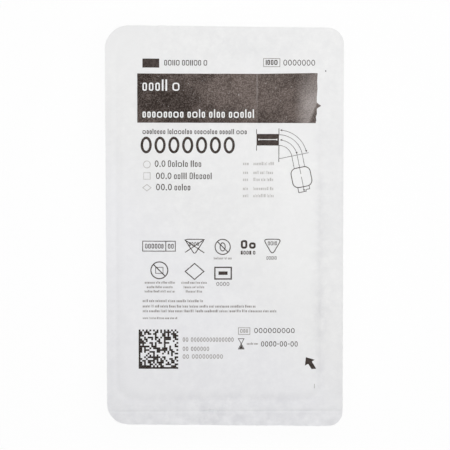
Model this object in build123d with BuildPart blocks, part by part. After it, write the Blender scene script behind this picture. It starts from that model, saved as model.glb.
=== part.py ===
"""Sealed sterile peel pack: a thermoformed tray closed by a heat-sealed lid sheet.

Millimetres. +Z is up through the lid, +Y runs to the head edge of the lid and +X to the right of it.
The origin is on the surface that the tray stands on, below the middle of the lid.
"""
from build123d import *

import os
from math import radians, tan

# Lid outline, as the sheet is die cut: its length along the middle, and its ends a little out of square
lid_width = 110.0
lid_length = 185.0
end_skew = 0.65
head_left_radius = 11.1
head_right_radius = 7.5
peel_left_radius = 9.6
peel_right_radius = 7.0

# Sheet thicknesses
lid_thickness = 0.2
flange_thickness = 0.8

# Seal land on each side, from the edge of the lid to the mouth of the tray
left_land = 5.4
right_land = 10.9
head_land = 8.0
peel_land = 5.6

# Peel tab, the strip past the seal where the lid lies free of the flange
peel_tab = 6.5
peel_slit = 0.3
crease_width = 0.8
crease_depth = 0.1

# Valley that the lid sheet takes along the mouth
valley_width = 4.5
valley_depth = 0.5

# Tray walls
tray_depth = 44.0
wall_draft = 5.0
mouth_radius = 8.0
root_radius = 1.5
ledge_drop = 7.0
ledge_width = 2.0
pocket_radius = 14.0
base_radius = 5.0

# Recess in the underside, which leaves a rim to stand on
rim_width = 6.0
recess_corner_radius = 9.0
recess_depth = 1.6

# Levels
flange_bottom = tray_depth
lid_bottom = flange_bottom + flange_thickness
lid_top = lid_bottom + lid_thickness
ledge_level = flange_bottom - ledge_drop

# Edges of the lid along its middle lines, its corners and the line where its seal ends
left_edge = -lid_width / 2
right_edge = lid_width / 2
head_edge = lid_length / 2
peel_edge = -lid_length / 2
skew_rise = lid_width / 2 * tan(radians(end_skew))
head_left = (left_edge, head_edge + skew_rise)
head_right = (right_edge, head_edge - skew_rise)
peel_left = (left_edge, peel_edge + skew_rise)
peel_right = (right_edge, peel_edge - skew_rise)
seal_end = peel_edge + peel_tab

# Mouth of the tray, which sits off centre under the lid
mouth_width = lid_width - left_land - right_land
mouth_length = head_edge - head_land - peel_land - seal_end
mouth_x = (left_land - right_land) / 2
mouth_y = (head_edge - head_land + peel_land + seal_end) / 2

# Insets of the walls from the mouth, and the rounding of the ledge and the recess
lean = tan(radians(wall_draft))
ledge_inset = ledge_drop * lean
pocket_inset = ledge_inset + ledge_width
base_inset = pocket_inset + ledge_level * lean
recess_inset = base_inset + base_radius + rim_width
ledge_radius = ledge_width * 0.45
recess_radius = recess_depth * 0.45


def mouth_plane(level):
    """Plane at a level, centred on the mouth of the tray."""
    return Plane((mouth_x, mouth_y, level))


def wall_outline(inset, radius):
    """Rounded outline that lies inside the mouth by an inset all round."""
    return RectangleRounded(mouth_width - 2 * inset, mouth_length - 2 * inset, radius)


def groove_section(point, direction, width, depth):
    """Shallow round groove in the lid, drawn across its direction at a point."""
    run = Vector(direction)
    with BuildSketch(Plane(point, x_dir=Vector(0, 0, 1).cross(run), z_dir=run)) as section:
        with BuildLine():
            ThreePointArc((-width / 2, 0), (0, -depth), (width / 2, 0))
            Line((width / 2, 0), (-width / 2, 0))
        make_face()
    return section.sketch


def level_faces():
    """Level faces of the pack as it stands so far, from the lowest to the highest."""
    return sealed_pack.faces().filter_by(Plane.XY).sort_by(Axis.Z)


with BuildPart() as sealed_pack:
    # Upper wall, from the flange down to the ledge
    with BuildSketch(mouth_plane(flange_bottom)):
        wall_outline(0, mouth_radius)
    extrude(amount=-ledge_drop, taper=wall_draft)

    # Pocket below the ledge, drawn in towards the base
    with BuildSketch(mouth_plane(ledge_level)):
        wall_outline(pocket_inset, pocket_radius)
    extrude(amount=-ledge_level, taper=wall_draft)
    fillet(level_faces()[0].edges(), base_radius)
    fillet(level_faces()[1].edges(), ledge_radius)

    # Recess in the underside
    with BuildSketch(mouth_plane(0)):
        wall_outline(recess_inset, recess_corner_radius)
    extrude(amount=recess_depth, mode=Mode.SUBTRACT)
    rim_face, recess_roof = level_faces()[:2]
    fillet(rim_face.inner_wires()[0].edges() + recess_roof.edges(), recess_radius)

    # Flange and lid, cut to one outline
    with BuildSketch(Plane.XY.offset(flange_bottom)) as outline:
        Polygon(peel_left, peel_right, head_right, head_left, align=None)
        fillet(outline.vertices().sort_by_distance(head_left)[0], head_left_radius)
        fillet(outline.vertices().sort_by_distance(head_right)[0], head_right_radius)
        fillet(outline.vertices().sort_by_distance(peel_left)[0], peel_left_radius)
        fillet(outline.vertices().sort_by_distance(peel_right)[0], peel_right_radius)
    extrude(amount=lid_top - flange_bottom)
    fillet(level_faces()[-2].inner_wires()[0].edges(), root_radius)

    # Slit between lid and flange along the peel tab
    with BuildSketch(Plane.XY.offset(lid_bottom)):
        with Locations((0, seal_end)):
            Rectangle(lid_width, peel_tab + abs(skew_rise), align=(Align.CENTER, Align.MAX))
    extrude(amount=-peel_slit, mode=Mode.SUBTRACT)

    # Crease across the lid where the seal ends
    crease = groove_section((0, seal_end, lid_top), (1, 0, 0), crease_width, crease_depth)
    extrude(crease, amount=lid_width / 2, both=True, mode=Mode.SUBTRACT)

    # Valley in the lid along the mouth
    with BuildSketch(mouth_plane(lid_top), mode=Mode.PRIVATE) as mouth:
        wall_outline(0, mouth_radius)
    mouth_line = mouth.sketch.wire()
    valley = groove_section(mouth_line @ 0, mouth_line % 0, valley_width, valley_depth)
    sweep(valley, path=mouth_line, mode=Mode.SUBTRACT)

sealed_pack.part.label = "sealed_pack"
os.makedirs("parts", exist_ok=True)
export_step(sealed_pack.part, "parts/sealed_pack.step")
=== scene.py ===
"""Looks of a sealed sterile peel pack: its lid sheet, the print on it and the formed tray.

The layout is in millimetres from the middle of the lid, and the meshes in metres, in the frame of the solid.
"""
import math
import random

import bmesh
import bpy
import numpy as np
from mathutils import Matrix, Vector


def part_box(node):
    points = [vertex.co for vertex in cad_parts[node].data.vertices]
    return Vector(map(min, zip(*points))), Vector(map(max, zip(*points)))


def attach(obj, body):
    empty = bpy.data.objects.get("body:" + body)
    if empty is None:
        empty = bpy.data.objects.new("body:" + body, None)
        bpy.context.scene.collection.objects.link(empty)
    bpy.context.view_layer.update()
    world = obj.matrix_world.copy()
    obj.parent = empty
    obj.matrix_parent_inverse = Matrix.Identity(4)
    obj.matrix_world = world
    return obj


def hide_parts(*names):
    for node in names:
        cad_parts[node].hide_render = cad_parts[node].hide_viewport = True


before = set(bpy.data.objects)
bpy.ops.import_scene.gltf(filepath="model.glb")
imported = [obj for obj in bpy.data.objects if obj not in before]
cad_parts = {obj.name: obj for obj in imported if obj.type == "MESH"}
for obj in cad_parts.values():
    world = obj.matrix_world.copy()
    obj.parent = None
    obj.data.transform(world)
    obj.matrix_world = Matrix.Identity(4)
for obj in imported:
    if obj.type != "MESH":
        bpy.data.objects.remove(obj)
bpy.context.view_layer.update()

MM = 0.001
NODE = "sealed_pack"
BODY = "root"

# Lid outline: its sides and top as in the solid, its ends along the middle, their slope and the corner radii
LOW, HIGH = (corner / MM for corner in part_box(NODE))
LEFT, RIGHT, LID_TOP = LOW.x, HIGH.x, HIGH.z
HEAD, PEEL = 92.5, -92.5
END_SLOPE = -math.tan(math.radians(0.65))
HEAD_RIGHT_R, HEAD_LEFT_R, PEEL_LEFT_R, PEEL_RIGHT_R = 7.5, 11.1, 9.6, 7.0
LID_THICK = 0.2

# Mouth of the tray below the lid, and the loose tab past the end of the seal
LEFT_LAND, RIGHT_LAND, HEAD_LAND, PEEL_LAND = 5.4, 10.9, 8.0, 5.6
PEEL_TAB = 6.5
PEEL_SLIT = 0.3
MOUTH_R = 8.0
SEAL_END = PEEL + PEEL_TAB
MOUTH_LEFT, MOUTH_RIGHT = LEFT + LEFT_LAND, RIGHT - RIGHT_LAND
MOUTH_LOW, MOUTH_HIGH = SEAL_END + PEEL_LAND, HEAD - HEAD_LAND

# Tray walls and flange
FLANGE_THICK = 0.8
FLANGE_LOW = LID_TOP - LID_THICK - FLANGE_THICK
WALL_DRAFT = math.radians(5)
ROOT_R = 1.5
LEDGE_DROP = 7.0
LEDGE_WIDTH = 2.0
POCKET_R = 14.0
BASE_R = 5.0
RIM_WIDTH = 6.0
RECESS_DEPTH = 1.6
RECESS_CORNER_R = 9.0
# Share of a step's width that its rounding takes
STEP_ROUND = 0.45
# Seal land on the flange: how far it stands inside the cut edge, the rounding of its corners at the peel end,
# and where it ends outside the mouth
LAND_STEP = 0.25
LAND_END_R = 3.0
MOUTH_LIP = 2.6
# Depth of the hollow inside the land, which leaves room for the valley of the lid
HOLLOW_DEPTH = 0.6

# Relief of the lid: valley along the mouth, fading towards the head, pillow inside it and crease at the tab
VALLEY_DEPTH, VALLEY_SPREAD, VALLEY_FADE = 0.45, 2.0, 0.6
PILLOW_RISE, PILLOW_REACH = 0.12, 16.0
CREASE_DEPTH, CREASE_SPREAD, CREASE_LEAST = 0.12, 0.55, 0.8
# How far the tab lifts at its edge, and how far a wrinkle may sag there
TAB_LIFT, TAB_SAG = 0.3, 0.24
# Height, wave lengths across and along, and phase of each ripple
PILLOW_RIPPLES = ((0.10, 41, 67, 0.4), (0.07, -23, 35, 1.9), (0.035, 13, -47, 2.6), (0.018, 8, 11, 0.7))
TAB_RIPPLES = ((0.10, 37, 90, 0.8), (0.14, 19, 13, 2.1), (0.12, 11, -9, 0.3), (0.08, 27, 7, 1.1))
TAB_FINE_RIPPLES = ((0.15, 7.3, -10, 0.3), (0.11, 4.6, 9, 1.1), (0.06, 3.1, -6, 2.0))
# Length for each radian, and phase, of two waves whose product makes the fine ripples come and go
FINE_PATCHES = ((9, 0.7), (23, 2.0))
# Pinches along the crease: place across, reach and how much deeper
PINCHES = ((-6.5, 3.5, 1.7), (36.0, 4.0, 0.9), (-34.0, 5.0, 0.2), (-48.0, 8.0, 0.2), (12.0, 8.0, 0.3))

# Painted shade on the lid sheet: at large, and what is added from a place on towards the peel end
SHEET_SHADE = 0.08
PEEL_END_SHADE, PEEL_END_FROM, PEEL_END_SPAN = 0.10, -10, 80
# Seal land, from a distance outside the mouth, and the painted shadow of the fold along the mouth, which
# waves break up
LAND_SHADE, LAND_FROM, LAND_SPAN = 0.06, -2, 5
FOLD_SHADE, FOLD_REACH = 0.15, 2.6
FOLD_MEAN, FOLD_SWING, FOLD_WAVE = 0.85, 0.35, 6
FOLD_BEND, FOLD_WANDER = 1.5, 17
# Land and fold fade out at the head, and the fold is faint at the left
HEAD_FADE_FROM, HEAD_FADE_SPAN = 75, 60
LEFT_LEAST, LEFT_FADE_FROM, LEFT_FADE_SPAN = 0.2, -20, 50
# Pinches with a halo round them, part soil and part painted shade, then painted shade on the tab, from just
# inside the end of the seal, and in its hollows
PINCH_SHADE, PINCH_REACH = 0.16, 0.8
HALO_SHADE, HALO_REACH = 0.07, 4
TAB_SHADE, TAB_FROM, TAB_SPAN = 0.06, 1, 3
HOLLOW_SHADE = 0.14
# Drifts of painted light and shade, and smudges that are part soil and part painted shade: place, reach
# across and along, and how much darker, below zero lighter
DRIFTS = ((36, 0, 12, 58, -0.10), (-18, -10, 22, 30, 0.05), (51, -55, 6, 30, -0.10),
          (-51, 5, 7, 60, -0.07), (-47, 80, 14, 16, -0.09), (20, 84, 30, 8, 0.05),
          (-45, -72, 20, 18, -0.08), (42, -74, 12, 15, -0.10), (-14.5, -80.3, 5.0, 2.5, 0.12),
          (-28.0, -82.0, 3.0, 2.0, 0.06), (-46.0, -89.2, 4.0, 2.2, 0.07), (-36.0, -90.3, 3.5, 1.8, 0.08),
          (-7.0, -83.5, 6.0, 2.0, 0.08), (-8.0, -90.0, 5.0, 2.0, 0.08), (43.5, -12.0, 3.5, 9.0, 0.08),
          (45.0, -34.0, 5.0, 11.0, 0.08), (49.5, 64.5, 2.5, 4.0, 0.06), (2.8, 80.6, 4.0, 3.0, 0.08),
          (11.6, 82.0, 3.0, 2.5, 0.06), (-3.0, 87.2, 4.0, 2.5, 0.05))
# Name of the mesh attribute that carries the painted shade
SHADE = "shade"

# Fineness: cells and closest rows of the lid, rows at its crease, and steps in a corner and in a wall's bend
LID_CELL = 0.8
ROW_LEAST = 0.04
CREASE_ROWS = 21
CORNER_STEPS = 14
BEND_STEPS = 6
# Angle from which an edge is shaded sharp
SHARP_EDGE = math.radians(40)

# Print film: how far it stands proud, its depth, and the cells in which it follows the lid
INK_FILM = 0.025
INK_DEPTH = 0.08
INK_CELL = 1.5
# How close points are that get joined, and how close a cut has to pass to go through a point
WELD = 0.002
CUT_SLACK = 0.001
# Usual widths of lines
HAIRLINE = 0.3
FINE_LINE = 0.22
# The whole print sits a little turned and shifted on the sheet
PRINT_TURN = math.radians(-0.2)
PRINT_SCALE = 1.0025
PRINT_SHIFT = (-0.03, -0.13)

# Colours of the sheet: plain and bright, in its clouds, on its strands, its painted shade, and its cool
# painted shade at the low left
SHEET_PLAIN, SHEET_BRIGHT = (0.842, 0.842, 0.844), (0.892, 0.892, 0.884)
SHEET_CLOUD = (0.813, 0.813, 0.813)
SHEET_STRAND = (0.912, 0.912, 0.912)
SHEET_PAINTED_SHADE = (0.55, 0.55, 0.575)
SHEET_COOL_SHADE = (0.83, 0.83, 0.885)
# Colours of the inks, where each lies thick and where it lies thin
DARK_INK = (0.032, 0.024, 0.021), (0.072, 0.056, 0.050)
CODE_INK = (0.012, 0.008, 0.006), (0.034, 0.025, 0.021)
WORD_INK = (0.026, 0.018, 0.016), (0.066, 0.050, 0.045)
SMALL_INK = (0.27, 0.25, 0.24), (0.39, 0.37, 0.36)
FAINT_INK = (0.48, 0.465, 0.455), (0.60, 0.585, 0.575)
BAND_INK = (0.016, 0.009, 0.006), (0.103, 0.079, 0.069)
# What shows through an ink: strands, and in the band its grain, pinholes, seam and a worn streak with a
# painted sheen
INK_STRAND = (0.45, 0.43, 0.42)
BAND_GRAIN = (0.30, 0.25, 0.23)
BAND_PINHOLE = (0.60, 0.58, 0.57)
BAND_SEAM_LINE = (0.34, 0.31, 0.30)
BAND_WORN_SHEEN = (0.405, 0.365, 0.35)
# Colours of the tray: near its base, where the drawn plastic is thin and painted shade stands for the dark
# inside, and at full thickness
TRAY_THIN_SHADED, TRAY_THICK = (0.735, 0.762, 0.778), (0.805, 0.825, 0.835)
# Range that a noise value mostly keeps to, and the height of the sheet's fibres
NOISE_LOW, NOISE_HIGH = 0.3, 0.7
FIBRE_RELIEF = 0.04 * MM


# Form of the lid sheet

def ease(share):
    """Smooth step from 0 to 1."""
    share = np.clip(share, 0, 1)
    return share * share * (3 - 2 * share)


def bell(away, reach):
    """Soft bump, 1 in its middle, that fades over a reach."""
    return np.exp(-(away / reach) ** 2)


def ripple(x, y, table):
    """Sum of gentle waves at points of the lid."""
    return sum(rise * np.sin(2 * math.pi * (x / across + y / along) + phase)
               for rise, across, along, phase in table)


def mouth_distance(x, y):
    """Distance of points from the line of the tray's mouth, below zero inside it."""
    over_x = np.maximum(MOUTH_LEFT + MOUTH_R - x, x - MOUTH_RIGHT + MOUTH_R)
    over_y = np.maximum(MOUTH_LOW + MOUTH_R - y, y - MOUTH_HIGH + MOUTH_R)
    outside = np.hypot(np.maximum(over_x, 0), np.maximum(over_y, 0))
    return outside + np.minimum(np.maximum(over_x, over_y), 0) - MOUTH_R


def tab_wrinkles(x, y):
    """Wrinkles of the loose tab, the finer ones in patches."""
    (short, short_phase), (long, long_phase) = FINE_PATCHES
    patches = 0.5 + 0.5 * np.sin(x / short + short_phase) * np.sin(x / long + long_phase)
    return ripple(x, y, TAB_RIPPLES) + patches * ripple(x, y, TAB_FINE_RIPPLES)


def lid_height(x, y):
    """Height of the lid's upper face over its seal plane."""
    away = mouth_distance(x, y)
    valley = -VALLEY_DEPTH * (1 - VALLEY_FADE * ease(y / MOUTH_HIGH)) * bell(away, VALLEY_SPREAD)
    pillow = ease(-away / PILLOW_REACH) * (PILLOW_RISE + ripple(x, y, PILLOW_RIPPLES))
    tab = np.maximum(ease((SEAL_END - y) / PEEL_TAB) * (TAB_LIFT + tab_wrinkles(x, y)), -TAB_SAG)
    pinch = CREASE_LEAST + sum(deeper * bell(x - place, reach) for place, reach, deeper in PINCHES)
    crease = -CREASE_DEPTH * pinch * bell(y - SEAL_END, CREASE_SPREAD)
    return valley + pillow + tab + crease


def lid_shade(x, y):
    """How much shade is painted on the sheet: in its drifts, which paint light too, on the land, at fold and
    pinches, and in the tab's hollows.
    """
    # Painted shade and light in broad drifts, more shade towards the peel end
    drift = SHEET_SHADE + PEEL_END_SHADE * ease((PEEL_END_FROM - y) / PEEL_END_SPAN)
    drift = drift + sum(darker * bell(x - across, wide) * bell(y - along, long)
                        for across, along, wide, long, darker in DRIFTS)
    away = mouth_distance(x, y)
    land = LAND_SHADE * ease((away - LAND_FROM) / LAND_SPAN)
    # Painted shadow along the fold of the mouth, broken up by waves
    wander = FOLD_BEND * np.sin((y - x) / FOLD_WANDER)
    broken = FOLD_MEAN + FOLD_SWING * np.sin((x + y) / FOLD_WAVE + wander)
    rightwards = LEFT_LEAST + (1 - LEFT_LEAST) * ease((x - LEFT_FADE_FROM) / LEFT_FADE_SPAN)
    fold = FOLD_SHADE * broken * rightwards * bell(away, FOLD_REACH)
    peelwards = ease((HEAD_FADE_FROM - y) / HEAD_FADE_SPAN)
    past = y - SEAL_END
    # Pinch smudges: part soil, part painted shade in the crease
    pinch = sum(deeper * (PINCH_SHADE * bell(x - place, reach) * bell(past, PINCH_REACH)
                          + HALO_SHADE * bell(x - place, 2 * reach) * bell(past, HALO_REACH))
                for place, reach, deeper in PINCHES)
    # Painted shade on the tab, deeper in the hollows of its wrinkles
    tab = ease((TAB_FROM - past) / TAB_SPAN) * (TAB_SHADE - HOLLOW_SHADE * tab_wrinkles(x, y))
    return np.maximum(drift + peelwards * (land + fold) + pinch + tab, 0)


# Material nodes

def new_material(name):
    """Empty node material, with its tree and shader."""
    material = bpy.data.materials.new(name)
    material.use_nodes = True
    return material, material.node_tree, material.node_tree.nodes["Principled BSDF"]


def object_place(tree):
    """Coordinates in the frame of the object, in metres."""
    return tree.nodes.new("ShaderNodeTexCoord").outputs["Object"]


def separate(tree, place):
    """Coordinates of a place, by the names of their axes."""
    node = tree.nodes.new("ShaderNodeSeparateXYZ")
    tree.links.new(place, node.inputs[0])
    return node.outputs


def dot(tree, place, way):
    """How far a place lies along a direction."""
    node = tree.nodes.new("ShaderNodeVectorMath")
    node.operation = "DOT_PRODUCT"
    node.inputs[1].default_value = way
    tree.links.new(place, node.inputs[0])
    return node.outputs["Value"]


def noise(tree, place, scale, detail, rough, twist=0.0, kind="FBM"):
    """Noise value at a place."""
    node = tree.nodes.new("ShaderNodeTexNoise")
    node.noise_type = kind
    node.inputs["Scale"].default_value = scale
    node.inputs["Detail"].default_value = detail
    node.inputs["Roughness"].default_value = rough
    node.inputs["Distortion"].default_value = twist
    tree.links.new(place, node.inputs["Vector"])
    return node.outputs["Fac"]


def span(tree, value, low, high, start=0.0, end=1.0):
    """Value moved smoothly from one range to another, held at its ends."""
    node = tree.nodes.new("ShaderNodeMapRange")
    node.interpolation_type = "SMOOTHSTEP"
    for name, number in (("From Min", low), ("From Max", high), ("To Min", start), ("To Max", end)):
        node.inputs[name].default_value = number
    tree.links.new(value, node.inputs["Value"])
    return node.outputs["Result"]


def spread(tree, value, start=0.0, end=1.0):
    """Noise value spread over a range."""
    return span(tree, value, NOISE_LOW, NOISE_HIGH, start, end)


def join(tree, operation, first, *others):
    """Arithmetic on two or more values."""
    for other in others:
        node = tree.nodes.new("ShaderNodeMath")
        node.operation = operation
        tree.links.new(first, node.inputs[0])
        tree.links.new(other, node.inputs[1])
        first = node.outputs[0]
    return first


def blend(tree, share, first, second):
    """Colour between two, each a socket or a plain colour."""
    node = tree.nodes.new("ShaderNodeMix")
    node.data_type = "RGBA"
    tree.links.new(share, node.inputs[0])
    for socket, colour in ((node.inputs[6], first), (node.inputs[7], second)):
        if isinstance(colour, tuple):
            socket.default_value = (*colour, 1.0)
        else:
            tree.links.new(colour, socket)
    return node.outputs[2]


def bump(tree, shader, height, distance, strength):
    """Fine relief in a material."""
    node = tree.nodes.new("ShaderNodeBump")
    node.inputs["Distance"].default_value = distance
    node.inputs["Strength"].default_value = strength
    tree.links.new(height, node.inputs["Height"])
    tree.links.new(node.outputs["Normal"], shader.inputs["Normal"])


def fibres(tree, place):
    """Strands and fine grain of the spunbonded sheet."""
    strands = noise(tree, place, scale=420, detail=4.0, rough=0.55, twist=1.4, kind="RIDGED_MULTIFRACTAL")
    grain = noise(tree, place, scale=2600, detail=2.0, rough=0.6)
    return strands, grain


# Materials

def lid_material():
    """White spunbonded sheet: cloudy, with pale strands, with shade painted from its mesh and a cool painted
    shade at its low left.
    """
    material, tree, shader = new_material("lid_sheet")
    place = object_place(tree)
    strands, grain = fibres(tree, place)
    drifts = noise(tree, place, scale=38, detail=4.0, rough=0.6)
    clouds = noise(tree, place, scale=150, detail=6.0, rough=0.68, twist=0.3)
    flecks = noise(tree, place, scale=230, detail=5.0, rough=0.7)
    mottle = noise(tree, place, scale=480, detail=3.0, rough=0.6)
    colour = blend(tree, spread(tree, drifts), SHEET_PLAIN, SHEET_BRIGHT)
    colour = blend(tree, span(tree, clouds, 0.25, 0.75), colour, SHEET_CLOUD)
    colour = blend(tree, spread(tree, mottle, 0.0, 0.5), colour, SHEET_CLOUD)
    colour = blend(tree, span(tree, strands, 0.6, 1.6, 0.0, 0.3), colour, SHEET_STRAND)
    # Painted shade carried by the mesh, broken up by flecks
    shade = tree.nodes.new("ShaderNodeAttribute")
    shade.attribute_name = SHADE
    painted_shade_share = join(tree, "MULTIPLY", shade.outputs["Fac"], spread(tree, flecks, 1.6, 0.4))
    colour = blend(tree, painted_shade_share, colour, SHEET_PAINTED_SHADE)
    # Cool painted shade, growing towards the low left
    low_left = dot(tree, place, (-1.0, -1.0, 0.0))
    colour = blend(tree, span(tree, low_left, 0.0, 50 * MM, 0.0, 0.28), colour, SHEET_COOL_SHADE)
    tree.links.new(colour, shader.inputs["Base Color"])
    tree.links.new(spread(tree, clouds, 0.78, 0.62), shader.inputs["Roughness"])
    shader.inputs["Specular IOR Level"].default_value = 0.3
    bump(tree, shader, join(tree, "ADD", strands, grain), FIBRE_RELIEF, 0.35)
    return material


def finish_ink(tree, shader, colour, strands, grain):
    """Surface that every print has: matt, with the sheet's fibres showing through."""
    tree.links.new(colour, shader.inputs["Base Color"])
    tree.links.new(spread(tree, grain, 0.55, 0.7), shader.inputs["Roughness"])
    shader.inputs["Specular IOR Level"].default_value = 0.12
    bump(tree, shader, join(tree, "ADD", strands, grain), FIBRE_RELIEF, 0.3)


def ink_material(name, colours):
    """Print that takes unevenly on the strands."""
    material, tree, shader = new_material(name)
    place = object_place(tree)
    strands, grain = fibres(tree, place)
    patches = noise(tree, place, scale=900, detail=4.0, rough=0.65)
    colour = blend(tree, span(tree, patches, 0.32, 0.68), *colours)
    colour = blend(tree, span(tree, strands, 1.0, 2.0, 0.0, 0.2), colour, INK_STRAND)
    finish_ink(tree, shader, colour, strands, grain)
    return material


def band_material():
    """Dark field of print: densest at its left, grainy, with pinholes, a soft seam and a pale worn streak
    with a painted sheen.
    """
    material, tree, shader = new_material("ink_band")
    place = object_place(tree)
    strands, grain = fibres(tree, place)
    axes = separate(tree, place)
    across, along = axes["X"], axes["Y"]
    patches = noise(tree, place, scale=74, detail=6.0, rough=0.8)
    speckle = noise(tree, place, scale=1600, detail=2.0, rough=0.7)
    pinholes = noise(tree, place, scale=1300, detail=1.0, rough=0.5)
    seam = BAND_SEAM * MM

    # The ink thins to the right, and lies thicker again past the seam
    thin = join(tree, "ADD", span(tree, across, -28 * MM, 28 * MM, 0.2, 1.25),
                spread(tree, patches, -0.6, 0.6),
                span(tree, across, seam - 0.3 * MM, seam + 0.3 * MM, 0.0, -0.5))
    colour = blend(tree, span(tree, thin, -0.3, 1.4), *BAND_INK)

    # Grain that shows most where the ink is thin, and pinholes
    grainy = join(tree, "MULTIPLY", span(tree, speckle, 0.40, 0.66, 0.0, 0.55),
                  span(tree, thin, -0.2, 1.2, 0.4, 1.0))
    colour = blend(tree, grainy, colour, BAND_GRAIN)
    colour = blend(tree, span(tree, pinholes, 0.72, 0.80, 0.0, 0.6), colour, BAND_PINHOLE)

    # Seam, plainest at its top
    line = join(tree, "MULTIPLY", span(tree, across, seam - 0.5 * MM, seam, 0.0, 0.4),
                span(tree, across, seam, seam + 0.6 * MM, 1.0, 0.0),
                span(tree, along, 52 * MM, 66 * MM, 0.3, 1.0))
    colour = blend(tree, line, colour, BAND_SEAM_LINE)

    # Worn streak at the right with a painted sheen of a wrinkle, with a slanting edge, plainest at its foot
    slant = dot(tree, place, (1.0, -0.41, 0.0))
    worn_sheen = join(tree, "MULTIPLY", span(tree, across, 31.2 * MM, 39.8 * MM),
                span(tree, slant, 18.4 * MM, 20.0 * MM, 1.0, 0.1),
                span(tree, along, 72 * MM, 56 * MM, 0.25, 0.9),
                span(tree, speckle, 0.25, 0.6, 0.5, 1.0),
                span(tree, patches, 0.3, 0.6, 0.75, 1.0))
    colour = blend(tree, worn_sheen, colour, BAND_WORN_SHEEN)
    finish_ink(tree, shader, colour, strands, grain)
    return material


def tray_material():
    """Milky plastic drawn down into its form: greyer near the base, part thin plastic and part painted shade,
    with faint upright ripples.
    """
    material, tree, shader = new_material("tray")
    place = object_place(tree)
    drawn = tree.nodes.new("ShaderNodeVectorMath")
    drawn.operation = "MULTIPLY"
    drawn.inputs[1].default_value = (1.0, 1.0, 0.15)
    tree.links.new(place, drawn.inputs[0])
    ripples = noise(tree, drawn.outputs["Vector"], scale=70, detail=3.0, rough=0.5)
    haze = noise(tree, place, scale=900, detail=3.0, rough=0.6)
    height = separate(tree, place)["Z"]
    # Greyer towards the base: thinner plastic, with painted shade of the inside showing through
    thick = join(tree, "ADD", span(tree, height, 0.0, 30 * MM, 0.0, 0.8), spread(tree, ripples, 0.0, 0.2))
    tree.links.new(blend(tree, thick, TRAY_THIN_SHADED, TRAY_THICK), shader.inputs["Base Color"])
    tree.links.new(spread(tree, haze, 0.30, 0.42), shader.inputs["Roughness"])
    shader.inputs["Coat Weight"].default_value = 0.15
    shader.inputs["Coat Roughness"].default_value = 0.2
    bump(tree, shader, ripples, 0.6 * MM, 0.25)
    return material


# Meshes

def plan(bm):
    """Places of a mesh's points across and along the lid."""
    return np.array([vert.co[:2] for vert in bm.verts]).T


def thicken(bm, depth):
    """Turns an open sheet into a closed one that grows downwards."""
    grown = bmesh.ops.extrude_face_region(bm, geom=bm.faces[:], use_keep_orig=True)
    for vert in grown["geom"]:
        if isinstance(vert, bmesh.types.BMVert):
            vert.co.z -= depth
    bmesh.ops.recalc_face_normals(bm, faces=bm.faces)


def add_piece(name, bm, material):
    """Piece of the pack from a bmesh in millimetres, riding on the pack's one body."""
    bmesh.ops.scale(bm, vec=(MM, MM, MM), verts=bm.verts)
    mesh = bpy.data.meshes.new(name)
    bm.to_mesh(mesh)
    bm.free()
    mesh.materials.append(material)
    mesh.shade_smooth()
    mesh.set_sharp_from_angle(angle=SHARP_EDGE)
    piece = bpy.data.objects.new(name, mesh)
    bpy.context.scene.collection.objects.link(piece)
    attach(piece, BODY)
    return piece


# Lid sheet

def corner_inset(y, head_r, peel_r):
    """How far a side of the lid curves in towards its two ends."""
    into_head = np.clip(y - HEAD + head_r, 0, head_r)
    into_peel = np.clip(PEEL + peel_r - y, 0, peel_r)
    return head_r - np.sqrt(head_r**2 - into_head**2) + peel_r - np.sqrt(peel_r**2 - into_peel**2)


def lid_rows():
    """Rows of the lid's mesh: close together at its round ends and at the crease."""
    end_r = max(HEAD_LEFT_R, PEEL_LEFT_R)
    end = end_r * (1 - np.cos(np.linspace(0, math.pi / 2, CORNER_STEPS)))
    crease = SEAL_END + CREASE_SPREAD * np.linspace(-4, 4, CREASE_ROWS)
    middle = np.arange(PEEL + end_r, HEAD - end_r, LID_CELL)
    rows = np.sort(np.concatenate((PEEL + end, crease, middle, HEAD - end)))
    return rows[np.insert(np.diff(rows) > ROW_LEAST, 0, True)]


def make_lid(material):
    """Die-cut lid sheet with its valley, pillow, crease and loose tab."""
    rows = lid_rows()
    left = LEFT + corner_inset(rows, HEAD_LEFT_R, PEEL_LEFT_R)
    right = RIGHT - corner_inset(rows, HEAD_RIGHT_R, PEEL_RIGHT_R)
    columns = np.linspace(0, 1, round((RIGHT - LEFT) / LID_CELL) + 1)
    x = left[:, None] + (right - left)[:, None] * columns
    y = rows[:, None] + END_SLOPE * x
    z = LID_TOP + lid_height(x, y)
    bm = bmesh.new()
    grid = [[bm.verts.new(point) for point in zip(*row)] for row in zip(x, y, z)]
    for low, high in zip(grid, grid[1:]):
        for i in range(len(low) - 1):
            bm.faces.new((low[i], low[i + 1], high[i + 1], high[i]))
    thicken(bm, LID_THICK)
    # Painted shade, kept on the mesh's points for the sheet's material
    shade = bm.verts.layers.float.new(SHADE)
    for vert, shade_value in zip(bm.verts, lid_shade(*plan(bm))):
        vert[shade] = shade_value
    lid = add_piece("lid_sheet", bm, material)
    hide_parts(NODE)


# Tray

def rounded_ring(left, right, low, high, radii, level, low_slope=0.0, high_slope=0.0):
    """Points round a rectangle with round corners and sloping ends, from its right-hand head corner on."""
    points = []
    corners = ((right, high, -1, -1, high_slope), (left, high, 1, -1, high_slope),
               (left, low, 1, 1, low_slope), (right, low, -1, 1, low_slope))
    for quarter, ((x, y, inward_x, inward_y, slope), radius) in enumerate(zip(corners, radii)):
        for step in range(CORNER_STEPS + 1):
            angle = math.pi / 2 * (quarter + step / CORNER_STEPS)
            across = x + inward_x * radius + radius * math.cos(angle)
            along = y + inward_y * radius + radius * math.sin(angle)
            points.append((across, along + slope * across, level))
    return points


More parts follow.
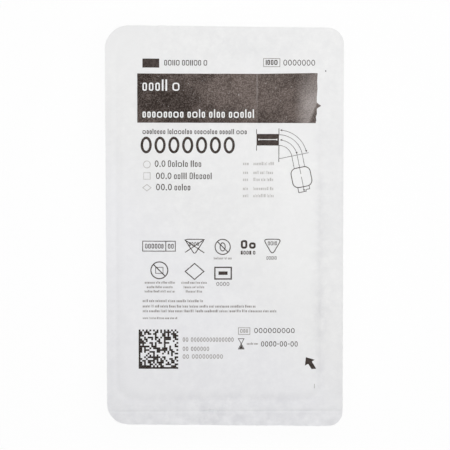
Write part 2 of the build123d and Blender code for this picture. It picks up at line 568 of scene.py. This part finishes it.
def cut_ring(level):
    """Ring round the flange, which is cut to the lid's outline."""
    radii = (HEAD_RIGHT_R, HEAD_LEFT_R, PEEL_LEFT_R, PEEL_RIGHT_R)
    return rounded_ring(LEFT, RIGHT, PEEL, HEAD, radii, level, END_SLOPE, END_SLOPE)


def land_ring(level):
    """Ring round the seal land, just inside the cut edge and straight across where the seal ends."""
    radii = (HEAD_RIGHT_R, HEAD_LEFT_R, LAND_END_R, LAND_END_R)
    return rounded_ring(LEFT + LAND_STEP, RIGHT - LAND_STEP, SEAL_END, HEAD - LAND_STEP, radii, level,
                        high_slope=END_SLOPE)


def wall_ring(inset, level, radius):
    """Ring of the tray's wall, inside its mouth by an inset."""
    return rounded_ring(MOUTH_LEFT + inset, MOUTH_RIGHT - inset, MOUTH_LOW + inset, MOUTH_HIGH - inset,
                        (radius,) * 4, level)


def lip_ring(level):
    """Ring along the inner edge of the seal land."""
    return wall_ring(-MOUTH_LIP, level, MOUTH_R + MOUTH_LIP)


def rounded_profile(corners):
    """Wall profile as (inset, level, ring radius), from corners that also give how far each is rounded."""
    profile = []
    for i, (inset, level, ring_r, bend_r) in enumerate(corners):
        here = np.array((inset, level))
        if bend_r == 0:
            profile.append((inset, level, ring_r))
            continue
        back = np.array(corners[i - 1][:2]) - here
        on = np.array(corners[i + 1][:2]) - here
        back /= np.linalg.norm(back)
        on /= np.linalg.norm(on)
        half = math.acos(np.dot(back, on)) / 2
        middle = here + (back + on) / np.linalg.norm(back + on) * bend_r / math.sin(half)
        start = here + back * bend_r / math.tan(half) - middle
        end = here + on * bend_r / math.tan(half) - middle
        for share in np.linspace(0, 1, BEND_STEPS + 1):
            spoke = start * (1 - share) + end * share
            point = middle + spoke / np.linalg.norm(spoke) * bend_r
            profile.append((point[0], point[1], ring_r + inset - point[0]))
    return profile


def wall_profile():
    """Profile of the tray's wall, from under the flange down over the ledge and the base into the recess."""
    ledge = FLANGE_LOW - LEDGE_DROP
    ledge_inset = LEDGE_DROP * math.tan(WALL_DRAFT)
    pocket_inset = ledge_inset + LEDGE_WIDTH
    base_inset = pocket_inset + ledge * math.tan(WALL_DRAFT)
    recess_inset = base_inset + BASE_R + RIM_WIDTH
    ledge_r = LEDGE_WIDTH * STEP_ROUND
    recess_r = RECESS_DEPTH * STEP_ROUND
    flange_run = 2 * ROOT_R
    roof_run = 3 * recess_r
    return rounded_profile((
        (-flange_run, FLANGE_LOW, MOUTH_R + flange_run, 0),
        (0, FLANGE_LOW, MOUTH_R, ROOT_R),
        (ledge_inset, ledge, MOUTH_R - ledge_inset, ledge_r),
        (pocket_inset, ledge, POCKET_R, ledge_r),
        (base_inset, 0, POCKET_R - base_inset + pocket_inset, BASE_R),
        (recess_inset, 0, RECESS_CORNER_R, recess_r),
        (recess_inset, RECESS_DEPTH, RECESS_CORNER_R, recess_r),
        (recess_inset + roof_run, RECESS_DEPTH, RECESS_CORNER_R - roof_run, 0),
    ))


def bridge(bm, rings):
    """Closed skin over rings of points, capped at its two ends."""
    loops = [[bm.verts.new(point) for point in points] for points in rings]
    bm.faces.new(loops[0])
    bm.faces.new(reversed(loops[-1]))
    for upper, lower in zip(loops, loops[1:]):
        for i in range(len(upper)):
            bm.faces.new((upper[i], upper[i - 1], lower[i - 1], lower[i]))


def make_tray(material):
    """Formed tray: flange, ledge, drafted pocket and recessed base, with the seal land on top."""
    flange_high = FLANGE_LOW + FLANGE_THICK - PEEL_SLIT
    land_top = flange_high + PEEL_SLIT
    flange = [lip_ring(land_top - HOLLOW_DEPTH), lip_ring(land_top), land_ring(land_top),
              land_ring(flange_high), cut_ring(flange_high), cut_ring(FLANGE_LOW)]
    wall = [wall_ring(*point) for point in wall_profile()]
    bm = bmesh.new()
    bridge(bm, flange + wall)
    bmesh.ops.recalc_face_normals(bm, faces=bm.faces)
    tray = add_piece("tray", bm, material)
    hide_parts(NODE)


# Print shapes: lists of flat polygons, in millimetres on the lid

def block(x0, y0, x1, y1):
    """Filled rectangle."""
    return [((x0, y0), (x1, y0), (x1, y1), (x0, y1))]


def stroke(points, width=HAIRLINE, closed=False):
    """Line of even width through points, mitred at its corners."""
    points = np.asarray(points, float)
    ahead = np.roll(points, -1, axis=0) - points
    if not closed:
        ahead[-1] = ahead[-2]
    ahead /= np.linalg.norm(ahead, axis=1, keepdims=True)
    behind = np.roll(ahead, 1, axis=0)
    if not closed:
        behind[0] = ahead[0]
    normals = [np.stack((-way[:, 1], way[:, 0]), axis=1) for way in (behind, ahead)]
    mitre = sum(normals) / (1 + np.sum(normals[0] * normals[1], axis=1, keepdims=True))
    one, other = points - mitre * width / 2, points + mitre * width / 2
    last = len(points) if closed else len(points) - 1
    nexts = [(i + 1) % len(points) for i in range(last)]
    return [(one[i], one[j], other[j], other[i]) for i, j in zip(range(last), nexts)]


def arc(x, y, radius, start=0.0, end=360.0, steps=40):
    """Points on an arc, by angles in degrees from +X."""
    angles = np.radians(np.linspace(start, end, steps + 1))
    return [(x + radius * math.cos(a), y + radius * math.sin(a)) for a in angles]


def ring(x, y, radius, width=HAIRLINE):
    """Circle line."""
    return stroke(arc(x, y, radius)[:-1], width, closed=True)


def frame_box(x0, y0, x1, y1, width=HAIRLINE):
    """Outline of a rectangle."""
    return stroke(((x0, y0), (x1, y0), (x1, y1), (x0, y1)), width, closed=True)


def arrow_head(point, way, long=1.1, wide=0.9):
    """Small filled arrow head with its tip at a point."""
    way = np.array(way) / np.linalg.norm(way)
    side = np.array((-way[1], way[0])) * wide / 2
    foot = np.array(point) - way * long
    return [(tuple(point), tuple(foot + side), tuple(foot - side))]


def soft_triangle(x, top, half, tall, radius):
    """Points of a triangle that stands on its tip, with round corners."""
    corners = ((x - half, top), (x, top - tall), (x + half, top))
    points = []
    for i, corner in enumerate(corners):
        back = np.array(corners[i - 1]) - corner
        on = np.array(corners[(i + 1) % 3]) - corner
        ends = [np.array(corner) + way / np.linalg.norm(way) * radius for way in (back, on)]
        for share in np.linspace(0, 1, 6):
            pull = 2 * share * (1 - share)
            points.append(ends[0] * (1 - share) ** 2 + np.array(corner) * pull + ends[1] * share**2)
    return points


# Letter boxes as shares of the letter height: how often, width and height
LETTERS = ((0.22, 0.15, 1.0), (0.60, 0.40, 0.72), (0.10, 0.62, 0.72), (0.08, 0.46, 1.0))
CAPITALS = ((0.15, 0.16, 1.0), (0.55, 0.52, 1.0), (0.30, 0.64, 1.0))
# Spaces after a letter and after a word, and the least room for a letter, as shares of the letter height
LETTER_SPACE, WORD_SPACE, LETTER_ROOM = 0.17, 0.3, 0.2
# Narrowest hollow box, in line widths, and the rounding of a box as a share of its width
HOLLOW_LEAST, BOX_ROUND = 2.6, 0.35
# Widths of the marks in a row of noughts, and the space after each, before the row is stretched
MARK_WIDTHS = {"0": 0.56, ".": 0.18, "-": 0.32, " ": 0.3}
MARK_SPACE = 0.13
# Height of a dash as a share of the row's, and the steps in a small nought and in one over a size
DASH_HEIGHT = 0.42
SMALL_STEPS, LARGE_STEPS, LARGE_CAP = 14, 24, 4


def letter(x0, y0, x1, y1, line):
    """Stand-in for one letter: a hollow box with round corners, or a bar where such a box would close up."""
    if line == 0 or x1 - x0 < HOLLOW_LEAST * line:
        return block(x0, y0, x1, y1)
    left, right, low, high = x0 + line / 2, x1 - line / 2, y0 + line / 2, y1 - line / 2
    radius = BOX_ROUND * (right - left)
    outline = []
    for x, y, turn in ((right - radius, high - radius, 0), (left + radius, high - radius, 90),
                       (left + radius, low + radius, 180), (right - radius, low + radius, 270)):
        outline += arc(x, y, radius, turn, turn + 90, 3)
    return stroke(outline, line, closed=True)


def words(x0, x1, base, cap, seed, line=0.0, letters=LETTERS):
    """Row of letter boxes in word-like groups, hollow where a line width is given."""
    draw = random.Random(seed)
    weights = [often for often, _, _ in letters]
    shapes = []
    x = x0
    left_in_word = draw.randint(4, 9)
    while x < x1 - LETTER_ROOM * cap:
        _, wide, tall = draw.choices(letters, weights)[0]
        shapes += letter(x, base, min(x + max(wide * cap, line), x1), base + tall * cap, line)
        x += (wide + LETTER_SPACE) * cap
        left_in_word -= 1
        if left_in_word == 0:
            x += WORD_SPACE * cap
            left_in_word = draw.randint(3, 9)
    return shapes


def zeros(pattern, x0, x1, base, cap, width=0.15):
    """Row of plain noughts, with points and dashes as in a pattern, spread to fill a length."""
    stretch = (x1 - x0) / (sum(MARK_WIDTHS[mark] + MARK_SPACE for mark in pattern) - MARK_SPACE)
    turns = np.linspace(0, 2 * math.pi, LARGE_STEPS if cap > LARGE_CAP else SMALL_STEPS, endpoint=False)
    line = width * cap
    shapes = []
    x = x0
    for mark in pattern:
        end = x + MARK_WIDTHS[mark] * stretch
        if mark == "0":
            middle = np.array(((x + end) / 2, base + cap / 2))
            reach_x, reach_y = (end - x - line) / 2, (cap - line) / 2
            loop = middle + np.stack((reach_x * np.cos(turns), reach_y * np.sin(turns)), axis=1)
            shapes += stroke(loop, line, closed=True)
        elif mark == ".":
            shapes += block(x, base, end, base + end - x)
        elif mark == "-":
            shapes += block(x, base + DASH_HEIGHT * cap, end, base + DASH_HEIGHT * cap + line)
        x = end + MARK_SPACE * stretch
    return shapes


def on_sheet(x, y):
    """Place on the lid of a point of the print's layout."""
    cosine, sine = PRINT_SCALE * math.cos(PRINT_TURN), PRINT_SCALE * math.sin(PRINT_TURN)
    return x * cosine - y * sine + PRINT_SHIFT[0], x * sine + y * cosine + PRINT_SHIFT[1]


def lay_print(name, shapes, material, film=INK_FILM):
    """One piece of print: flat shapes, cut into small cells, laid on the lid and given a film's thickness."""
    bm = bmesh.new()
    for shape in shapes:
        bm.faces.new([bm.verts.new((*on_sheet(x, y), 0)) for x, y in shape])
    bmesh.ops.remove_doubles(bm, verts=bm.verts, dist=WELD)
    for face in bm.faces:
        face.normal_update()
        if face.normal.z < 0:
            face.normal_flip()
    for axis in ((1, 0, 0), (0, 1, 0)):
        places = [vert.co.dot(axis) for vert in bm.verts]
        for step in range(math.ceil(min(places) / INK_CELL), math.ceil(max(places) / INK_CELL)):
            at = [step * INK_CELL * part for part in axis]
            everything = bm.verts[:] + bm.edges[:] + bm.faces[:]
            bmesh.ops.bisect_plane(bm, geom=everything, dist=CUT_SLACK, plane_co=at, plane_no=axis)
    for vert, height in zip(bm.verts, lid_height(*plan(bm))):
        vert.co.z = LID_TOP + height + film
    thicken(bm, INK_DEPTH)
    add_piece(name, bm, material)


# Label layout: the left edge of most rows, the three size rows, and the dark band

COLUMN = -37.9
SIZE_ROWS = (28.0, 22.4, 17.2)
SIZE_CAP = 3.0
BAND_LEFT, BAND_SEAM, BAND_RISE_END = -40.3, 15.0, 40.0
BAND_TOP = 70.8
# Right end of the band from its top to its foot; a nub of ink stands out of it
BAND_END = ((42.6, 71.2), (42.4, 67.5), (42.6, 64.0), (42.3, 60.5), (42.3, 57.8), (43.1, 57.1), (44.3, 56.3),
            (43.0, 55.4), (42.3, 54.9), (42.4, 52.6), (41.9, 51.2), (42.1, 49.6), (41.8, 48.3))


def band():
    """Dark header field, in strips from its left edge to its rough right end, taller past its seam."""
    top_edge = ((BAND_RISE_END, BAND_END[0][1]), (BAND_SEAM, BAND_TOP), (BAND_LEFT, BAND_TOP))
    starts = [top_edge] + [((BAND_LEFT, y),) for _, y in BAND_END[1:]]
    return [(*start, end[-1], lower, upper)
            for start, end, upper, lower in zip(starts, starts[1:], BAND_END, BAND_END[1:])]


def bare_marks():
    """Marks left bare in dark print: a title and a line in the band, and a measuring line in the drawing."""
    shapes = words(COLUMN, -20.3, 62.9, 5.2, 4, 0.62)
    shapes += words(COLUMN, 14.6, 50.6, 3.9, 5, 0.56)
    shapes += block(15.6, 40.5, 24.0, 40.85)
    for x in (15.4, 23.7):
        shapes += block(x, 40.3, x + 0.5, 41.05)
    return shapes


def header_marks():
    """Plain block and a row of noughts above the band."""
    return block(COLUMN, 73.5, -30.2, 77.6) + zeros("0000000", 26.8, 41.4, 74.6, 2.7, 0.11)


def headline():
    """Large line of noughts below the band, and the numbers of the size rows."""
    shapes = zeros("0000000", -38.8, 4.6, 34.2, 7.7, 0.15)
    numbers = (("0.0", -32.3, -27.4), ("00.0", -31.7, -24.6), ("00.0", -31.7, -24.4))
    for (pattern, x0, x1), base in zip(numbers, SIZE_ROWS):
        shapes += zeros(pattern, x0, x1, base, SIZE_CAP, 0.13)
    return shapes


def label_words():
    """Words above and under the band, in the size rows, in boxes and under marks."""
    shapes = words(-27.9, -7.7, 74.5, 2.5, 1, 0.34, CAPITALS)
    shapes += words(18.7, 24.3, 74.9, 2.3, 2, 0.42, CAPITALS)
    shapes += words(COLUMN, 10.2, 43.1, 2.4, 6, 0.34)
    after_numbers = ((-26.2, -10.9, 7), (-23.4, -5.9, 8), (-23.2, -15.5, 9))
    for (x0, x1, seed), base in zip(after_numbers, SIZE_ROWS):
        shapes += words(x0, x1, base, SIZE_CAP, seed, 0.36)
    for row in ((-36.8, -28.3, -9.7, 2.2, 40, 0.34), (-26.2, -23.6, -9.7, 2.2, 41, 0.34),
                (20.0, 24.2, -8.1, 1.8, 44, 0.26), (19.4, 24.6, -14.8, 1.6, 45, 0.2)):
        shapes += words(*row, CAPITALS)
    return shapes + zeros("0000", -3.8, 2.2, -27.0, 1.8, 0.12)


def tube_drawing():
    """Plain line drawing of a bent tube with a cuff and a tip, and lines that measure it."""
    centre = np.array((24.9, 31.9))
    inner_r, middle_r, outer_r, measure_r = 6.1, 8.6, 11.0, 13.1
    bend_end = 11.5
    reach = np.array((math.cos(math.radians(bend_end)), math.sin(math.radians(bend_end))))
    down = np.array((reach[1], -reach[0]))
    tube_left, tube_low, tube_high = 14.6, 37.95, 43.25
    shapes = block(tube_left, tube_low, centre[0], tube_high)
    for x, low, high in ((tube_left, 35.6, 45.4), (centre[0], centre[1] - 1.5, 45.8)):
        shapes += stroke(((x, low), (x, tube_low))) + stroke(((x, tube_high), (x, high)))
    shapes += stroke((centre + (0.2, 0), centre + reach * 14), FINE_LINE)

    # Two walls of the bend and two lines that measure it: radius, first and last angle, and straight limb
    for radius, start, end, limb in ((inner_r, 90, bend_end, 6.0), (middle_r, 84, bend_end, 9.0),
                                     (outer_r, 90, bend_end, 6.0), (measure_r, 84, bend_end + 4, 0)):
        bend = arc(*centre, radius, start, end, 18)
        if limb:
            bend.append(tuple(np.array(bend[-1]) + down * limb))
        shapes += stroke(bend, FINE_LINE)
        if radius in (middle_r, measure_r):
            shapes += arrow_head((centre[0] + 0.4, centre[1] + radius), (-1, 0))
            shapes += arrow_head(tuple(centre + reach * radius - down * 0.3), tuple(down))

    # Line through the cuff, the round cuff itself and the stepped tip
    middle = centre + reach * middle_r + down * 10.4
    shapes += stroke((middle - down * 0.2, middle + down * 6.2), FINE_LINE)
    shapes += arrow_head(tuple(middle + down * 6.8), tuple(down))
    cuff = []
    for side, along, turn in ((1, -1, 0), (-1, -1, 90), (-1, 1, 180), (1, 1, 270)):
        corner = middle + reach * side * 1.9 + down * along * 1.9
        cuff += arc(*corner, 2.6, turn + bend_end, turn + bend_end + 90, 7)
    shapes += stroke(cuff, 0.36, closed=True)
    tip = middle + down * 4.5
    steps = ((-2.6, 0), (-2.6, 2.3), (0.9, 2.3), (0.9, 1.5), (2.7, 1.5), (2.7, 0))
    return shapes + stroke([tip + reach * across + down * along for across, along in steps])


def faint_marks():
    """Faint print: marks before the size rows, the short rows beside the drawing, and a tick by the tab."""
    shapes = ring(-35.9, 29.1, 1.6, 0.38)
    shapes += frame_box(-37.4, 22.3, -34.4, 25.3, 0.32)
    shapes += stroke(((-37.8, 18.4), (-35.9, 16.9), (-34.0, 18.4), (-35.9, 19.9)), 0.38, closed=True)
    for i, base in enumerate((28.9, 24.8, 21.6, 17.4, 14.1)):
        shapes += words(8.4, 11.2, base, 1.5, 20 + i) + words(13.2, 22.6, base, 1.5, 30 + i)
    return shapes + block(41.85, -74.9, 42.2, -72.8)


def symbols():
    """Two rows of plain marks."""
    # First row: divided box, crossed triangle, crossed ring, two letter boxes over a word, and a triangle
    shapes = frame_box(COLUMN, -10.9, -22.8, -6.3, 0.35) + stroke(((-27.2, -10.9), (-27.2, -6.3)), 0.35)
    shapes += stroke(soft_triangle(-13.9, -5.4, 4.6, 7.0, 1.4), 0.4, closed=True)
    shapes += words(-16.5, -11.3, -8.4, 1.7, 46, 0.28, CAPITALS)
    shapes += stroke(((-18.3, -11.5), (-9.3, -5.4)), 0.4) + stroke(((-18.5, -5.6), (-9.4, -11.7)), 0.4)
    shapes += ring(-0.9, -8.9, 3.5, 0.45) + stroke(((-3.3, -6.5), (1.5, -11.3)), 0.45)
    shapes += zeros("0", -2.3, 0.5, -11.0, 4.2, 0.1)
    shapes += letter(7.5, -9.7, 10.5, -5.7, 0.95) + letter(11.3, -9.7, 14.4, -6.8, 0.95)
    shapes += words(7.5, 14.6, -12.4, 1.7, 43, 0.36, CAPITALS)
    shapes += stroke(soft_triangle(22.1, -5.3, 4.2, 7.2, 2.0), 0.4, closed=True)

    # Second row: crossed ring with a box, lozenge and framed bar
    shapes += ring(-30.2, -19.8, 3.9, 0.5) + stroke(((-32.9, -17.1), (-27.5, -22.5)), 0.5)
    shapes += frame_box(-31.9, -21.2, -28.5, -18.4)
    shapes += stroke(((-18.2, -20.3), (-13.9, -24.0), (-9.6, -20.3), (-13.9, -16.6)), 0.45, closed=True)
    return shapes + frame_box(-4.5, -23.8, 3.1, -18.4, 0.6) + block(-2.8, -21.9, 1.4, -20.3)


def small_print():
    """Small pale print: boxes of tags, captions of marks, lines of text and rows beside the square code."""
    shapes = frame_box(17.7, 74.1, 25.2, 77.8) + frame_box(6.5, -49.6, 11.8, -46.5)
    shapes += words(-5.0, 3.2, -14.7, 1.1, 42)
    for i, base in enumerate((-26.0, -28.1, -30.1)):
        shapes += words(-37.0 + i % 2, -23.0 - i % 2, base, 1.1, 50 + i)
        shapes += words(-20.0 + i, -8.0 - i, base, 1.1, 60 + i)
    for x1, base, cap, seed in ((-10.1, -34.6, 1.25, 70), (14.7, -37.1, 1.25, 71), (24.8, -39.3, 1.25, 72),
                                (-21.9, -42.5, 1.0, 73)):
        shapes += words(COLUMN, x1, base, cap, seed)
    for pattern, x1, base in (("00 00000000000000", 4.3, -53.1), ("00 000000", -7.1, -57.4),
                              ("00 000000000", -0.7, -61.0)):
        shapes += zeros(pattern, -19.4, x1, base, 2.1)
    return shapes + words(7.3, 11.2, -48.9, 1.8, 83, 0.34, CAPITALS) + words(10.4, 15.5, -54.4, 1.0, 85)


def square_code():
    """Square field of modules, filled by chance, with two solid edges and two edges of alternate modules."""
    draw = random.Random(11)
    x0, y0, count, module = -39.8, -65.7, 22, 0.834
    fill, slack = 0.52, 0.01
    last = count - 1
    shapes = []
    for row in range(count):
        for column in range(count):
            dark = draw.random() < fill
            if row == last or column == last:
                dark = (row + column) % 2 == 1
            if dark or row == 0 or column == 0:
                x, y = x0 + column * module, y0 + row * module
                shapes += block(x, y + slack, x + module, y + module - slack)
    return shapes


def lower_lines():
    """Hourglass mark and two rows of numbers, right of the square code."""
    shapes = zeros("000000000", 13.8, 32.6, -49.0, 2.4, 0.13)
    shapes += stroke(((6.5, -51.6), (9.1, -51.6), (6.5, -56.4), (9.1, -56.4)), HAIRLINE, closed=True)
    shapes.append(((7.8, -54.5), (6.9, -56.2), (8.7, -56.2)))
    return shapes + zeros("0000-00-00", 17.0, 34.1, -55.3, 2.5, 0.13)


def peel_arrow():
    """Solid arrow that points up and left from the peel corner, and a stray speck of ink."""
    tip, wing_a, wing_b = (37.9, -60.2), (42.0, -61.5), (37.5, -64.2)
    neck_a, neck_b = (40.7, -62.3), (39.0, -63.4)
    tail_a, tail_b = (42.8, -65.7), (40.6, -65.8)
    speck = tuple(arc(46.3, 72.2, 0.3, steps=10)[:-1])
    return [(tip, wing_b, neck_b), (tip, neck_b, neck_a), (tip, neck_a, wing_a),
            (neck_b, tail_b, tail_a, neck_a), speck]


# Stage, in metres: soft lamps with their sizes and powers, surroundings, floor and camera

KEY_PLACE, KEY_AIM, KEY_SIZE, KEY_POWER = (0.05, 0.08, 0.58), (0.02, 0.06, 0.045), (0.35, 0.35), 2.4
FILL_PLACES = {"fill_front_left": (-0.85, -0.6, 0.1), "fill_front_right": (0.85, -0.6, 0.1),
               "fill_back_left": (-0.85, 0.7, 0.1), "fill_back_right": (0.85, 0.7, 0.1)}
FILL_AIM, FILL_SIZE, FILL_POWER = (0, 0, 0.03), (0.8, 0.16), 2.0
WORLD_LIGHT = 0.25
FLOOR_HALF, FLOOR_LEVEL = 3.0, -0.0001
FLOOR_COLOUR = (0.9, 0.9, 0.9, 1)
# Share of plain white in the floor's look, and reach and darkest share of the shadow close to the pack
FLOOR_GLOW = 0.95
CONTACT_REACH, CONTACT_LEAST = 0.016, 0.55
# Camera: focal length, place over the middle of the lid in millimetres, and turn in degrees
CAMERA_LENS = 85
CAMERA_PLACE = (-4.5, 23.33, LID_TOP + 491.94)
CAMERA_TURN = (-2.585, -0.542, -0.076)
WHITE = (1, 1, 1, 1)


def add_lamp(name, place, aim, size, power):
    """Soft lamp that points at a place."""
    lamp = bpy.data.lights.new(name, "AREA")
    lamp.shape = "RECTANGLE"
    lamp.size, lamp.size_y = size
    lamp.energy = power
    holder = bpy.data.objects.new(name, lamp)
    holder.location = place
    way = np.array(aim) - np.array(place)
    holder.rotation_euler = (math.acos(-way[2] / np.linalg.norm(way)), 0, math.atan2(-way[0], way[1]))
    bpy.context.scene.collection.objects.link(holder)


def seen_directly(tree):
    """1 for rays that show the backdrop itself or its reflection, and 0 for light that it gives."""
    path = tree.nodes.new("ShaderNodeLightPath").outputs
    return join(tree, "MAXIMUM", path["Is Camera Ray"], path["Is Glossy Ray"], path["Is Transmission Ray"])


def mix_surface(tree, share, first, second, output):
    """Mixes two shaders by a share, and makes the result the surface."""
    mixer = tree.nodes.new("ShaderNodeMixShader")
    tree.links.new(share, mixer.inputs[0])
    tree.links.new(first.outputs[0], mixer.inputs[1])
    tree.links.new(second.outputs[0], mixer.inputs[2])
    tree.links.new(mixer.outputs[0], tree.nodes[output].inputs["Surface"])


def floor_material():
    """Pale floor that shows white, and keeps a soft shadow and a closer one where the pack stands."""
    material, tree, shader = new_material("floor")
    tree.nodes.remove(shader)
    matt = tree.nodes.new("ShaderNodeBsdfDiffuse")
    matt.inputs["Color"].default_value = FLOOR_COLOUR
    contact = tree.nodes.new("ShaderNodeAmbientOcclusion")
    contact.inputs["Distance"].default_value = CONTACT_REACH
    glow = tree.nodes.new("ShaderNodeEmission")
    tree.links.new(span(tree, contact.outputs["AO"], 0.2, 1.0, CONTACT_LEAST, 1.0), glow.inputs["Strength"])
    share = tree.nodes.new("ShaderNodeMath")
    share.operation = "MULTIPLY"
    share.inputs[1].default_value = FLOOR_GLOW
    tree.links.new(seen_directly(tree), share.inputs[0])
    mix_surface(tree, share.outputs[0], matt, glow, "Material Output")
    return material


def make_floor():
    """Wide plain floor under the pack."""
    bm = bmesh.new()
    bmesh.ops.create_grid(bm, x_segments=8, y_segments=8, size=FLOOR_HALF)
    mesh = bpy.data.meshes.new("floor")
    bm.to_mesh(mesh)
    bm.free()
    mesh.materials.append(floor_material())
    floor = bpy.data.objects.new("floor", mesh)
    floor.location.z = FLOOR_LEVEL
    bpy.context.scene.collection.objects.link(floor)


def make_world():
    """Even pale surroundings, white where they are seen."""
    world = bpy.data.worlds.new("studio")
    world.use_nodes = True
    tree = world.node_tree
    light = tree.nodes["Background"]
    light.inputs["Color"].default_value = WHITE
    light.inputs["Strength"].default_value = WORLD_LIGHT
    white = tree.nodes.new("ShaderNodeBackground")
    white.inputs["Color"].default_value = WHITE
    mix_surface(tree, seen_directly(tree), light, white, "World Output")
    bpy.context.scene.world = world


def make_camera():
    """Camera almost straight above the lid, a little towards its head edge."""
    camera = bpy.data.cameras.new("camera")
    camera.lens = CAMERA_LENS
    camera.sensor_width = 36
    camera.clip_start = 0.01
    holder = bpy.data.objects.new("camera", camera)
    holder.location = [distance * MM for distance in CAMERA_PLACE]
    holder.rotation_euler = [math.radians(turn) for turn in CAMERA_TURN]
    bpy.context.scene.collection.objects.link(holder)
    bpy.context.scene.camera = holder


# Pack

sheet = lid_material()
make_lid(sheet)
make_tray(tray_material())

dark_ink = ink_material("ink", DARK_INK)
code_ink = ink_material("ink_code", CODE_INK)
word_ink = ink_material("ink_words", WORD_INK)
small_ink = ink_material("ink_small", SMALL_INK)
faint_ink = ink_material("ink_faint", FAINT_INK)
lay_print("print_band", band(), band_material())
lay_print("print_bare", bare_marks(), sheet, 2 * INK_FILM)
lay_print("print_header", header_marks(), dark_ink)
lay_print("print_headline", headline(), dark_ink)
lay_print("print_words", label_words(), word_ink)
lay_print("print_drawing", tube_drawing(), dark_ink)
lay_print("print_faint", faint_marks(), faint_ink)
lay_print("print_symbols", symbols(), dark_ink)
lay_print("print_small", small_print(), small_ink)
lay_print("print_code", square_code(), code_ink)
lay_print("print_lower", lower_lines(), dark_ink)
lay_print("print_arrow", peel_arrow(), dark_ink)

make_floor()
make_world()
add_lamp("key", KEY_PLACE, KEY_AIM, KEY_SIZE, KEY_POWER)
for name, place in FILL_PLACES.items():
    add_lamp(name, place, FILL_AIM, FILL_SIZE, FILL_POWER)
make_camera()
bpy.context.scene.view_settings.view_transform = "Standard"
